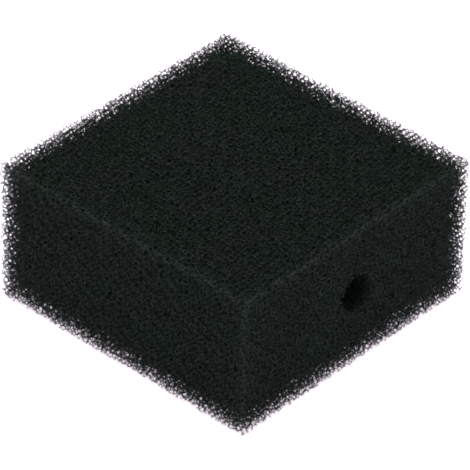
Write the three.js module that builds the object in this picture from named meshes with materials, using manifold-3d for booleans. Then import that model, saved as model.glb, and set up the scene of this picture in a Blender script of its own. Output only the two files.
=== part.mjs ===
// A sponge filter: one square block of open-cell filter foam with a blind bore in one side.
// A pump's inlet spigot pushes into the bore, so that the pump draws its water through the foam all round.
//
// Millimetres, +Z up. The origin is the centre of the underside, and the bore opens through the -Y side.

import * as THREE from "three";
import { mergeVertices } from "three/addons/utils/BufferGeometryUtils.js";
import Module from "manifold-3d";

// Driving dimensions
const BLOCK_SIDE = 100; // the plan is square
const BLOCK_HEIGHT = 49;
const BORE_DIAMETER = 12.5;
const BORE_AXIS_HEIGHT = 25.5; // a little above the middle
const BORE_DEPTH = 75; // from the -Y side, leaving foam behind the end of the spigot
const BORE_SEGMENTS = 64;
const CUTTER_OVERRUN = 5; // how far the cutter stands out of the mouth

const SIDE_FACE_Y = -BLOCK_SIDE / 2; // the side that the bore opens through

const wasm = await Module();
wasm.setup();

// The geometry as a solid, with its shared vertices merged.
function solidOf(geometry) {
  const bare = geometry.clone();
  bare.deleteAttribute("normal");
  bare.deleteAttribute("uv");
  const merged = mergeVertices(bare);
  return new wasm.Manifold(
    new wasm.Mesh({
      numProp: 3,
      vertProperties: new Float32Array(merged.attributes.position.array),
      triVerts: new Uint32Array(merged.index.array),
    }),
  );
}

// The solid as a geometry whose flat faces stay flat when it is shaded.
function geometryOf(solid) {
  const mesh = solid.getMesh();
  const shared = new THREE.BufferGeometry()
    .setAttribute("position", new THREE.BufferAttribute(mesh.vertProperties, 3))
    .setIndex(new THREE.BufferAttribute(mesh.triVerts, 1));
  const faceted = shared.toNonIndexed();
  faceted.computeVertexNormals();
  return faceted;
}

// The block before it is bored, standing on z = 0.
function slab() {
  return new THREE.BoxGeometry(BLOCK_SIDE, BLOCK_SIDE, BLOCK_HEIGHT).translate(0, 0, BLOCK_HEIGHT / 2);
}

// The cutter that makes the bore: a cylinder along Y, from outside the mouth to the bore's flat end.
function boreCutter() {
  const length = BORE_DEPTH + CUTTER_OVERRUN;
  const radius = BORE_DIAMETER / 2;
  const middleY = SIDE_FACE_Y - CUTTER_OVERRUN + length / 2;
  return new THREE.CylinderGeometry(radius, radius, length, BORE_SEGMENTS).translate(
    0,
    middleY,
    BORE_AXIS_HEIGHT,
  );
}

// The foam block: the slab less the bore.
function foamBlock() {
  const foam = new THREE.MeshStandardMaterial({ color: 0x1c211e, roughness: 0.95, metalness: 0 });
  const block = new THREE.Mesh(geometryOf(solidOf(slab()).subtract(solidOf(boreCutter()))), foam);
  block.name = "foam_block";
  return block;
}

const spongeFilter = new THREE.Group();
spongeFilter.add(foamBlock());

export default spongeFilter;
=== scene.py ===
"""A sponge filter: one square block of dark open-cell filter foam with a blind bore in one side.

Space is shared out among cells, struts run along the edges where three cells meet, and the block's
faces and the bore cut through the struts. Behind them, where little light reaches, a rough closed core
stands for the rest of the foam.
"""

import itertools
import math

import bpy
import numpy as np
from mathutils import Euler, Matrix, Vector, kdtree


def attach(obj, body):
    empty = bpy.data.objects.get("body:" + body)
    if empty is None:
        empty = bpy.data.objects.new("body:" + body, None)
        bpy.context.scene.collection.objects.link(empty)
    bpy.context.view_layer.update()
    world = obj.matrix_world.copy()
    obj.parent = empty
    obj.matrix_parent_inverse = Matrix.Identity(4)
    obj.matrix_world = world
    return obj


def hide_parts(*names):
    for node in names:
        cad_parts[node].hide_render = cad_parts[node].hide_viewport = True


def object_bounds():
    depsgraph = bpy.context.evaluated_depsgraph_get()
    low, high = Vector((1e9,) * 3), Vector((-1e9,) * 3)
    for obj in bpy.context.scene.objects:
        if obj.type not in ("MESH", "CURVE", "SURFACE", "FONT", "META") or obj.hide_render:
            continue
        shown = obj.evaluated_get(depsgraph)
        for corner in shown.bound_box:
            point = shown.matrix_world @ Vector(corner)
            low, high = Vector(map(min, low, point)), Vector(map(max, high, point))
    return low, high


MM = 0.001  # lengths are in metres

# The foam's cells
CELL_VOLUME = 4.0 * MM**3
CELL_SIZE = CELL_VOLUME ** (1 / 3)
LATTICE_STEP = (2 * CELL_VOLUME) ** (1 / 3)  # a body-centred cube holds two cells
CELL_SHAKE = 0.15 * LATTICE_STEP  # how far the cells stray from their lattice
CELL_TURN = Euler((0.4, 0.7, 1.1))  # turns the lattice, so that no row of cells runs along a face
CELLS_BEYOND = 1.3 * LATTICE_STEP  # how far outside the cut faces there are cells
CELLS_BEHIND = 1.1 * LATTICE_STEP  # how far behind the deepest struts there are cells
SPARE_STEPS = 2  # how many steps the lattice goes on past the block's corners
FARTHEST_CORNER = 1.2 * CELL_SIZE  # how far from a cell's centre its corners are looked for
NEIGHBOURS = 24  # how many of the nearest cells are looked at for the corners of a cell
CELLS_AT_ONCE = 1500  # how many cells are looked at together, which limits the memory used
SAME_DISTANCE = 1e-7  # the share by which rounding may part two equal distances
RELAXING = 2  # rounds of evening out the joints
SEED = 11

# The foam's struts
HUB_RADIUS = 0.158 * MM  # from a joint's middle to the corners of its tetrahedron
NETWORK_DEPTH = 4.1 * MM  # how far in from every cut face the struts are built
RAGGED = 0.15 * MM  # how far short of the cut a strut may end
HALVINGS = 14  # rounds of the search for the place where a strut is cut
SHORTEST_WAY = 0.001 * MM  # a shorter way from a joint counts as this long, so as not to divide by zero
NEAREST_AXIS = 0.01 * MM  # a point nearer the bore's axis counts as this far, so as not to divide by zero
TILES = 6  # the struts are made in columns, this many along each side of the block

# How the foam's dye and gloss vary, and the painted highlight on the block's edges
PATCH_SIZE = 14 * MM
ALL_GREEN, ALL_GREY = 0.35, 0.65  # the levels of the patches' noise where the dye is one colour only
GLOSS_SIZE = 1.5 * MM
GLOSSIEST, DULLEST = 0.42, 0.68  # the struts' least and greatest roughness
STRUT_SHINE = 0.15
HIGHLIGHT_ATTRIBUTE = "painted_edge_highlight"  # the mesh attribute that says how much painted highlight the struts get near the block's edges
HIGHLIGHT_REACH = 1.6 * MM  # how far from an edge of the block the struts are painted paler, a painted highlight where the edges catch more light

# The core behind the struts
CORE_INSET = 3.5 * MM  # less than NETWORK_DEPTH, so that deep struts run into it
CORE_GRAIN = 1.1 * MM  # the size of its faces
CORE_LUMPS = 1.2 * MM  # how much its lumps differ in height
UNMOVED_LEVEL = 1.0  # where the lumps' texture is lower than this, the core is pushed in
WEB_REACH, PORE_SHADE_FROM = 0.04, 0.14  # in cells: how far from its web it is all green, and from where all black, painted shade in the deep pores
CORE_DULLNESS = 0.8
CORE_SHINE = 0.05

# Colours
GREEN_BLACK = (0.0115, 0.0228, 0.0155, 1)
GREY_BLACK = (0.0132, 0.0203, 0.0172, 1)
# painted highlight: the paler green of the struts near the block's edges, where they catch more light
EDGE_HIGHLIGHT_GREEN = (0.0300, 0.0440, 0.0330, 1)
# painted shade: the black of the core's pores, where little light reaches into the deep foam
PORE_SHADE_BLACK = (0.0012, 0.0018, 0.0015, 1)

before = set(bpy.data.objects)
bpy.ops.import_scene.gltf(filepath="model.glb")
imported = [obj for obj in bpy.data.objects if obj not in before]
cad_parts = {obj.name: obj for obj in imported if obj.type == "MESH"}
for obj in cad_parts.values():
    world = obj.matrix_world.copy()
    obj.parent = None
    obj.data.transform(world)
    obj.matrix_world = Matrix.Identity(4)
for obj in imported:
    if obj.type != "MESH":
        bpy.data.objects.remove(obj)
cad_low, cad_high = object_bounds()
LOW, HIGH = np.array(cad_low), np.array(cad_high)
random = np.random.default_rng(SEED)


# ---------------------------------------------------------------- the cut faces


def bore_of(block):
    """The bore's axis (x, z), its radius and the y of its end, measured on the CAD block's own mesh."""
    corners = np.array([v.co for v in block.data.vertices])
    # The bore's corners are all more than a millimetre from the top and the underside, where the others are.
    rings = corners[(corners[:, 2] > cad_low.z + MM) & (corners[:, 2] < cad_high.z - MM)]
    low, high = rings.min(axis=0), rings.max(axis=0)
    middle = (low + high) / 2
    return middle[0], middle[2], (high[2] - low[2]) / 2, high[1]


BORE_X, BORE_Z, BORE_RADIUS, BORE_END = bore_of(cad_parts["foam_block"])


def depth_in_foam(points):
    """How far each point is behind the nearest cut face, negative outside the block and in the bore."""
    from_faces = np.minimum(points - LOW, HIGH - points).min(axis=1)
    from_axis = np.hypot(points[:, 0] - BORE_X, points[:, 2] - BORE_Z)
    from_bore = np.maximum(from_axis - BORE_RADIUS, points[:, 1] - BORE_END)
    return np.minimum(from_faces, from_bore)


def pulled_in(points):
    """The points, with any outside the block moved onto its faces, and any in the bore onto its wall."""
    points = np.clip(points, LOW, HIGH)
    x, z = points[:, 0] - BORE_X, points[:, 2] - BORE_Z
    from_axis = np.hypot(x, z)
    in_bore = (from_axis < BORE_RADIUS) & (points[:, 1] < BORE_END)
    outwards = np.where(in_bore, BORE_RADIUS / np.maximum(from_axis, NEAREST_AXIS), 1)
    points[:, 0] = BORE_X + x * outwards
    points[:, 2] = BORE_Z + z * outwards
    return points


# ---------------------------------------------------------------- cells


def cell_centres():
    """The cells' centres: a body-centred lattice, turned and shaken, where a cell can touch the struts."""
    count = math.ceil(np.linalg.norm(HIGH - LOW) / 2 / LATTICE_STEP) + SPARE_STEPS
    steps = np.arange(-count, count + 1)
    cubes = np.stack(np.meshgrid(steps, steps, steps, indexing="ij"), -1).reshape(-1, 3)
    lattice = np.concatenate([cubes, cubes + 0.5]) * LATTICE_STEP
    lattice = lattice @ np.array(CELL_TURN.to_matrix()).T + (LOW + HIGH) / 2
    depth = depth_in_foam(lattice)
    near = (depth > -CELLS_BEYOND) & (depth < NETWORK_DEPTH + CELLS_BEHIND)
    lattice = lattice[near]
    return lattice + random.normal(size=lattice.shape) * CELL_SHAKE


def nearest_cells(centres):
    """For each cell, the cells nearest it, as a row of indices."""
    tree = kdtree.KDTree(len(centres))
    for index, centre in enumerate(centres):
        tree.insert(centre, index)
    tree.balance()
    return np.array([[found[1] for found in tree.find_n(c, NEIGHBOURS + 1)[1:]] for c in centres])


def corners_from(own, centres, near):
    """The four cells at each point where a cell in own meets three cells after it, and the point."""
    trios = np.array(list(itertools.combinations(range(NEIGHBOURS), 3)))
    later = near[own] > own[:, None]
    row, trio = np.nonzero(later[:, trios].all(axis=2))
    others = near[own[row][:, None], trios[trio]]
    a, b, c = (centres[others[:, k]] - centres[own[row]] for k in range(3))
    a2, b2, c2 = ((v * v).sum(axis=1, keepdims=True) for v in (a, b, c))
    with np.errstate(divide="ignore", invalid="ignore"):  # four centres in one plane meet nowhere
        twice_volume = 2 * (a * np.cross(b, c)).sum(axis=1, keepdims=True)
        point = (a2 * np.cross(b, c) + b2 * np.cross(c, a) + c2 * np.cross(a, b)) / twice_volume
        reach = np.linalg.norm(point, axis=1)
        close = reach < FARTHEST_CORNER
    row, others, point, reach = row[close], others[close], point[close], reach[close]
    around = (centres[near[own]] - centres[own][:, None])[row]
    gap = np.linalg.norm(around - point[:, None], axis=2)
    empty = (gap > reach[:, None] * (1 - SAME_DISTANCE)).all(axis=1)  # no other cell is nearer
    first = own[row[empty]]
    return np.sort(np.column_stack([first, others[empty]]), axis=1), centres[first] + point[empty]


def cell_corners(centres, near):
    """The four cells that meet at each corner of the cells, and the place of the corner."""
    found = []
    for start in range(0, len(centres), CELLS_AT_ONCE):
        own = np.arange(start, min(start + CELLS_AT_ONCE, len(centres)))
        found.append(corners_from(own, centres, near))
    cells, points = zip(*found)
    return np.concatenate(cells), np.concatenate(points)


# ---------------------------------------------------------------- joints and struts

SHARED = np.array([[1, 2, 3], [0, 2, 3], [0, 1, 3], [0, 1, 2]])  # the three cells left when one is spare


def strut_ends(cells):
    """The pairs of joints that share three cells, and at each end which of its cells isn't shared."""
    spare = np.repeat(np.arange(4), len(cells))
    joint = np.tile(np.arange(len(cells)), 4)
    shared = cells[joint[:, None], SHARED[spare]]
    order = np.lexsort(shared.T)
    shared, joint, spare = shared[order], joint[order], spare[order]
    first = np.nonzero((shared[1:] == shared[:-1]).all(axis=1))[0]
    return np.stack([joint[first], joint[first + 1]]), np.stack([spare[first], spare[first + 1]])


def relaxed(joints, ends):
    """The joints moved towards the middle of their neighbours, as surface tension moves them."""
    for _ in range(RELAXING):
        total, count = joints.copy(), np.ones((len(joints), 1))
        for here, there in (ends, ends[::-1]):
            np.add.at(total, here, joints[there])
            np.add.at(count, here, 1)
        joints = total / count
    return joints


def joint_corners(centres, cells, joints, ends, spares):
    """Each joint's tetrahedron: a corner towards each of its cells, opposite the strut between the rest."""
    away = joints[:, None] - centres[cells]
    for here, there in ((0, 1), (1, 0)):
        away[ends[here], spares[here]] = joints[ends[there]] - joints[ends[here]]
    away /= np.maximum(np.linalg.norm(away, axis=2, keepdims=True), SHORTEST_WAY)
    return joints[:, None] - HUB_RADIUS * away


def cut_points(inner, outer, depth):
    """Where each line from an inner point to an outer one comes up to that depth behind a cut face."""
    low, high = np.zeros(len(inner)), np.ones(len(inner))
    for _ in range(HALVINGS):
        middle = (low + high) / 2
        deep = depth_in_foam(inner + (outer - inner) * middle[:, None]) > depth
        low, high = np.where(deep, middle, low), np.where(deep, high, middle)
    return inner + (outer - inner) * low[:, None]


def facing_back(points, triangles, outwards):
    """Which of the triangles face away from their outward direction."""
    a, b, c = (points[triangles[:, k]] for k in range(3))
    return (np.cross(b - a, c - a) * outwards).sum(axis=1) < 0


def strut_network(centres):
    """The struts' points, their two end rings, the joint faces they grow from, and which struts are cut.

    A ring is a row of three points. Joint j has the points 4j to 4j + 3, and its face 4j + k is the one
    opposite the point 4j + k.
    """
    cells, joints = cell_corners(centres, nearest_cells(centres))
    ends, spares = strut_ends(cells)
    joints = relaxed(joints, ends)
    points = joint_corners(centres, cells, joints, ends, spares).reshape(-1, 3)

    depth = depth_in_foam(joints)
    solid = (depth > HUB_RADIUS) & (depth < NETWORK_DEPTH)
    swap = ~solid[ends[0]]
    ends, spares = np.where(swap, ends[::-1], ends), np.where(swap, spares[::-1], spares)
    built = solid[ends[0]] & (depth[ends[1]] < NETWORK_DEPTH)
    (near, far), (near_spare, far_spare) = ends[:, built], spares[:, built]
    near_ring = near[:, None] * 4 + SHARED[near_spare]
    far_ring = far[:, None] * 4 + SHARED[far_spare]
    faces = np.stack([near * 4 + near_spare, far * 4 + far_spare])

    cut = ~solid[far]
    short = np.repeat(random.uniform(0, RAGGED, cut.sum()), 3)
    inner, outer = points[near_ring[cut]].reshape(-1, 3), points[far_ring[cut]].reshape(-1, 3)
    far_ring[cut] = len(points) + np.arange(cut.sum() * 3).reshape(-1, 3)
    points = pulled_in(np.concatenate([points, cut_points(inner, outer, short)]))

    along = points[far_ring].mean(axis=1) - points[near_ring].mean(axis=1)
    inside_out = facing_back(points, near_ring, along)
    for ring in (near_ring, far_ring):
        ring[inside_out] = ring[inside_out][:, ::-1]
    return points, near_ring, far_ring, faces, cut


def bare_faces(points, taken):
    """A triangle on every face that no strut has taken, of each joint that has a face taken."""
    joints = np.unique(taken // 4)
    bare = np.setdiff1d(joints[:, None] * 4 + np.arange(4), taken)
    triangles = bare[:, None] // 4 * 4 + SHARED[bare % 4]
    inside_out = facing_back(points, triangles, points[triangles[:, 0]] - points[bare])
    triangles[inside_out] = triangles[inside_out][:, ::-1]
    return triangles


def sides(near_ring, far_ring):
    """The six triangles round each strut, as rows of three."""
    triangles = []
    for k in range(3):
        n = (k + 1) % 3
        triangles.append(np.stack([near_ring[:, k], near_ring[:, n], far_ring[:, n]], axis=1))
        triangles.append(np.stack([near_ring[:, k], far_ring[:, n], far_ring[:, k]], axis=1))
    return np.concatenate(triangles)


def painted_edge_highlight(points):
    """How much painted highlight each point gets: 1 on an edge of the block, where the edges catch more
    light, falling to 0 at the highlight's reach from it.
    """
    from_faces = np.sort(np.minimum(points - LOW, HIGH - points), axis=1)
    from_edge = np.hypot(from_faces[:, 0], from_faces[:, 1])
    return np.clip(1 - from_edge / HIGHLIGHT_REACH, 0, 1)


def new_object(name, points, triangles, material):
    """A smooth-shaded mesh object of these triangles, using only the points they need."""
    used, triangles = np.unique(triangles, return_inverse=True)
    mesh = bpy.data.meshes.new(name)
    mesh.vertices.add(len(used))
    mesh.vertices.foreach_set("co", points[used].ravel())
    mesh.loops.add(triangles.size)
    mesh.loops.foreach_set("vertex_index", triangles.ravel())
    mesh.polygons.add(triangles.size // 3)
    mesh.polygons.foreach_set("loop_start", np.arange(0, triangles.size, 3))
    mesh.polygons.foreach_set("use_smooth", np.ones(triangles.size // 3, bool))
    mesh.update(calc_edges=True)
    # how much painted highlight each point gets near the block's edges
    highlight = mesh.attributes.new(HIGHLIGHT_ATTRIBUTE, "FLOAT", "POINT")
    highlight.data.foreach_set("value", painted_edge_highlight(points[used]))
    mesh.materials.append(material)
    made = bpy.data.objects.new(name, mesh)
    bpy.context.scene.collection.objects.link(made)
    return made


def declare(piece):
    """Says what a piece of the foam is to the frame."""
    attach(piece, "root")
    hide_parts("foam_block")


def build_struts(material):
    """The struts, as one object for each column of the block."""
    points, near_ring, far_ring, faces, cut = strut_network(cell_centres())
    share = (points[near_ring[:, 0]] - LOW) / (HIGH - LOW)
    column = np.clip((share[:, :2] * TILES).astype(int), 0, TILES - 1)
    for x, y in itertools.product(range(TILES), repeat=2):
        own = (column == (x, y)).all(axis=1)
        taken = np.concatenate([faces[0, own], faces[1, own & ~cut]])
        skin = [sides(near_ring[own], far_ring[own]), far_ring[own & cut], bare_faces(points, taken)]
        declare(new_object(f"foam_struts_{x + 1}_{y + 1}", points, np.concatenate(skin), material))


# ---------------------------------------------------------------- the core


def primitive(add, **options):
    """A new object from one of Blender's primitives."""
    add(**options)
    return bpy.context.object


def build_core(material):
    """The foam too deep to see into, set back behind every cut face, the bore's included."""
    low, high = LOW + CORE_INSET, HIGH - CORE_INSET
    core = primitive(bpy.ops.mesh.primitive_cube_add, size=1, location=(low + high) / 2, scale=high - low)
    core.name = "foam_core"
    length = BORE_END + CORE_INSET - LOW[1] + CORE_INSET
    cutter = primitive(
        bpy.ops.mesh.primitive_cylinder_add,
        radius=BORE_RADIUS + CORE_INSET,
        depth=length,
        location=(BORE_X, BORE_END + CORE_INSET - length / 2, BORE_Z),
        rotation=(math.pi / 2, 0, 0),
    )
    bored = core.modifiers.new("bored", "BOOLEAN")
    bored.operation = "DIFFERENCE"
    bored.object = cutter
    grain = core.modifiers.new("grain", "REMESH")
    grain.mode = "VOXEL"
    grain.voxel_size = CORE_GRAIN
    rough = core.modifiers.new("rough", "DISPLACE")
    rough.texture = bpy.data.textures.new("core_lumps", "VORONOI")
    rough.texture.noise_scale = CELL_SIZE
    rough.texture_coords = "GLOBAL"
    rough.strength = CORE_LUMPS
    rough.mid_level = UNMOVED_LEVEL
    evaluated = core.evaluated_get(bpy.context.evaluated_depsgraph_get())
    mesh = bpy.data.meshes.new_from_object(evaluated)
    core.modifiers.clear()
    core.data = mesh
    core.data.transform(core.matrix_world)
    core.matrix_world.identity()
    bpy.data.objects.remove(cutter)
    core.data.materials.append(material)
    core.data.shade_smooth()
    declare(core)


# ---------------------------------------------------------------- materials


def new_material(name):
    """A material with its nodes, its links and its shader."""
    material = bpy.data.materials.new(name)
    material.use_nodes = True
    tree = material.node_tree
    return material, tree.nodes, tree.links, tree.nodes["Principled BSDF"]


def strut_finish():
    """Dyed polyurethane: green-black going to grey-black in patches, and painted paler on the block's edges,
    a painted highlight where they catch more light.
    """
    material, nodes, links, shader = new_material("foam_strut")
    place = nodes.new("ShaderNodeTexCoord")
    patches = nodes.new("ShaderNodeTexNoise")
    patches.inputs["Scale"].default_value = 1 / PATCH_SIZE
    dyed = nodes.new("ShaderNodeValToRGB")
    dyed.color_ramp.elements[0].position = ALL_GREEN
    dyed.color_ramp.elements[0].color = GREEN_BLACK
    dyed.color_ramp.elements[1].position = ALL_GREY
    dyed.color_ramp.elements[1].color = GREY_BLACK
    # painted highlight: the struts near the block's edges are mixed towards a paler green
    highlighted = nodes.new("ShaderNodeMix")
    highlighted.data_type = "RGBA"
    highlighted.inputs["B"].default_value = EDGE_HIGHLIGHT_GREEN
    highlight = nodes.new("ShaderNodeAttribute")
    highlight.attribute_name = HIGHLIGHT_ATTRIBUTE
    links.new(place.outputs["Object"], patches.inputs["Vector"])
    links.new(patches.outputs["Fac"], dyed.inputs["Fac"])
    links.new(dyed.outputs["Color"], highlighted.inputs["A"])
    links.new(highlight.outputs["Fac"], highlighted.inputs["Factor"])
    links.new(highlighted.outputs["Result"], shader.inputs["Base Color"])

    gloss = nodes.new("ShaderNodeTexNoise")
    gloss.inputs["Scale"].default_value = 1 / GLOSS_SIZE
    dull = nodes.new("ShaderNodeMapRange")
    dull.inputs["To Min"].default_value = GLOSSIEST
    dull.inputs["To Max"].default_value = DULLEST
    links.new(place.outputs["Object"], gloss.inputs["Vector"])
    links.new(gloss.outputs["Fac"], dull.inputs["Value"])
    links.new(dull.outputs["Result"], shader.inputs["Roughness"])
    shader.inputs["Specular IOR Level"].default_value = STRUT_SHINE
    return material


def core_finish():
    """Deep foam: a web of dim struts round pores painted black, painted shade where little light reaches
    into them.
    """
    material, nodes, links, shader = new_material("foam_core")
    place = nodes.new("ShaderNodeTexCoord")
    web = nodes.new("ShaderNodeTexVoronoi")
    web.feature = "DISTANCE_TO_EDGE"
    web.inputs["Scale"].default_value = 1 / CELL_SIZE
    ramp = nodes.new("ShaderNodeValToRGB")
    ramp.color_ramp.elements[0].position = WEB_REACH
    ramp.color_ramp.elements[0].color = GREEN_BLACK
    # painted shade: the pores between the web are painted black
    ramp.color_ramp.elements[1].position = PORE_SHADE_FROM
    ramp.color_ramp.elements[1].color = PORE_SHADE_BLACK
    links.new(place.outputs["Object"], web.inputs["Vector"])
    links.new(web.outputs["Distance"], ramp.inputs["Fac"])
    links.new(ramp.outputs["Color"], shader.inputs["Base Color"])
    shader.inputs["Roughness"].default_value = CORE_DULLNESS
    shader.inputs["Specular IOR Level"].default_value = CORE_SHINE
    return material


# ---------------------------------------------------------------- the studio

CAMERA_LENS = 337.4
CAMERA_DISTANCE = 1.3315
CAMERA_AZIMUTH, CAMERA_ELEVATION, CAMERA_ROLL = -48.0, 36.265, 1.26
CAMERA_AIM = Vector((-0.82, -1.16, -1.89)) * MM  # from the block's centre
FLOOR_SIZE = 8
FLOOR_WHITE = (0.9, 0.82, 0.9, 1)
FLOOR_DULLNESS = 0.9
FLOOR_GLOW = 0.82
FLOOR_GLOW_WHITE = (1, 0.89, 1, 1)
HORIZON_WHITE = (1.12, 1.10, 1.12, 1)
OVERHEAD_GREY = (0.62, 0.64, 0.62, 1)
OVERHEAD_FROM = 0.6  # the sine of the elevation where the sky stops darkening
SOFTBOX_WAY = (132, 48)  # its azimuth and elevation: behind the block, over the far corner
SOFTBOX_DISTANCE = 1.0
SOFTBOX_SIZE = 0.5
SOFTBOX_POWER = 7.5
SOFTBOX_WHITE = (0.93, 1, 0.95)
PICTURE_SOFTNESS = 2.1  # the width of the picture's filter, in pixels


def build_floor():
    """A white floor that glows, as a table lit from below does."""
    floor = primitive(bpy.ops.mesh.primitive_plane_add, size=FLOOR_SIZE)
    floor.name = "floor"
    material, _, _, shader = new_material("floor_white")
    shader.inputs["Base Color"].default_value = FLOOR_WHITE
    shader.inputs["Roughness"].default_value = FLOOR_DULLNESS
    shader.inputs["Specular IOR Level"].default_value = 0
    shader.inputs["Emission Color"].default_value = FLOOR_GLOW_WHITE
    shader.inputs["Emission Strength"].default_value = FLOOR_GLOW
    floor.data.materials.append(material)


def build_sky():
    """Soft white light from all round, less of it from overhead."""
    world = bpy.data.worlds.new("studio")
    bpy.context.scene.world = world
    world.use_nodes = True
    nodes, links = world.node_tree.nodes, world.node_tree.links
    place = nodes.new("ShaderNodeTexCoord")
    height = nodes.new("ShaderNodeSeparateXYZ")
    shade = nodes.new("ShaderNodeValToRGB")
    shade.color_ramp.elements[0].color = HORIZON_WHITE
    shade.color_ramp.elements[1].color = OVERHEAD_GREY
    shade.color_ramp.elements[1].position = OVERHEAD_FROM
    links.new(place.outputs["Generated"], height.inputs["Vector"])
    links.new(height.outputs["Z"], shade.inputs["Fac"])
    links.new(shade.outputs["Color"], nodes["Background"].inputs["Color"])


def way_to(azimuth, elevation):
    """The direction to a place at that azimuth and elevation, in degrees, from the block."""
    a, e = math.radians(azimuth), math.radians(elevation)
    return Vector((math.sin(a) * math.cos(e), -math.cos(a) * math.cos(e), math.sin(e)))


def build_softbox():
    """One large soft light behind the block, which glints along the struts of the top."""
    data = bpy.data.lights.new("softbox", "AREA")
    data.size = SOFTBOX_SIZE
    data.energy = SOFTBOX_POWER
    data.color = SOFTBOX_WHITE
    softbox = bpy.data.objects.new("softbox", data)
    bpy.context.scene.collection.objects.link(softbox)
    back = way_to(*SOFTBOX_WAY)
    softbox.location = (cad_low + cad_high) / 2 + back * SOFTBOX_DISTANCE
    softbox.rotation_euler = back.to_track_quat("Z", "Y").to_euler()


def build_camera():
    """The photograph's camera, far off with a long lens."""
    data = bpy.data.cameras.new("camera")
    data.lens = CAMERA_LENS
    camera = bpy.data.objects.new("camera", data)
    bpy.context.scene.collection.objects.link(camera)
    back = way_to(CAMERA_AZIMUTH, CAMERA_ELEVATION)
    camera.location = (cad_low + cad_high) / 2 + CAMERA_AIM + back * CAMERA_DISTANCE
    level = back.to_track_quat("Z", "Y")
    roll = Euler((0, 0, math.radians(CAMERA_ROLL))).to_quaternion()
    camera.rotation_euler = (level @ roll).to_euler()
    bpy.context.scene.camera = camera


# ---------------------------------------------------------------- all of it

build_struts(strut_finish())
build_core(core_finish())
build_floor()
build_sky()
build_softbox()
build_camera()
bpy.context.scene.view_settings.view_transform = "Standard"
bpy.context.scene.cycles.use_denoising = True
bpy.context.scene.cycles.filter_width = PICTURE_SOFTNESS
